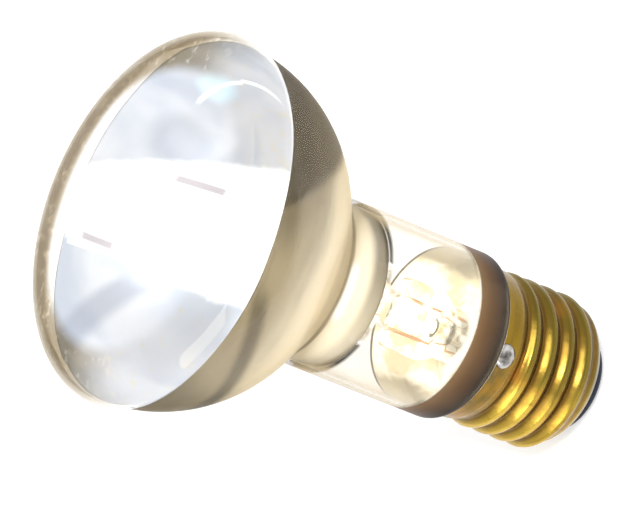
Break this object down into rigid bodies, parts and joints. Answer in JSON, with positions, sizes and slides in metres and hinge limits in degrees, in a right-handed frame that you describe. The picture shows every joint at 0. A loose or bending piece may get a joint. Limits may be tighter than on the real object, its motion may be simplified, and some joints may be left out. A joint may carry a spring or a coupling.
{
  "type": "halogen heat lamp",
  "caption": "Mirrored reflector lamp with a quartz halogen burner on a wire frame inside a clear-faced glass bulb, on a brass screw cap.",
  "frame": {"origin": "tip of the centre contact, on the lamp's axis", "axes": "+Z along the lamp's axis from the cap to the domed face; +X towards the solder on the cap's rim; the burner's wire frame lies in the YZ plane"},
  "size_m": [0.063, 0.063, 0.0943],
  "materials": {
    "bulb_glass": "clear blown glass",
    "mirror": "vapour-deposited aluminium film",
    "cap_brass": "rolled sheet, tarnished on the collar",
    "black_glass": "moulded black glass",
    "contact_brass": "pressed plate",
    "solder": "smooth solder",
    "cement": "baked capping cement",
    "stem_glass": "clear tube glass",
    "copper": "drawn copper wire",
    "nickel": "drawn nickel wire",
    "quartz": "clear fused quartz",
    "foil": "molybdenum",
    "tungsten": "coiled tungsten wire, lit"
  },
  "bodies": {
    "root": {"glass_bulb": "bulb_glass", "mirror_film": "mirror", "screw_shell": "cap_brass", "cap_insulator": "black_glass", "centre_contact": "contact_brass", "centre_solder": "solder", "side_solder": "solder", "cap_cement": "cement", "stem": "stem_glass", "exhaust_tube": "stem_glass", "side_lead": "copper", "centre_lead": "copper", "fuse_sleeve": "stem_glass", "dumet_seal_side": "copper", "dumet_seal_centre": "copper", "frame_rod_long": "nickel", "frame_rod_short": "nickel", "burner_tube": "quartz", "burner_foil_lower": "foil", "burner_foil_upper": "foil", "burner_pin_lower": "foil", "burner_pin_upper": "foil", "filament": "tungsten", "filament_support_lower": "tungsten", "filament_support_upper": "tungsten"}
  },
  "joints": []
}
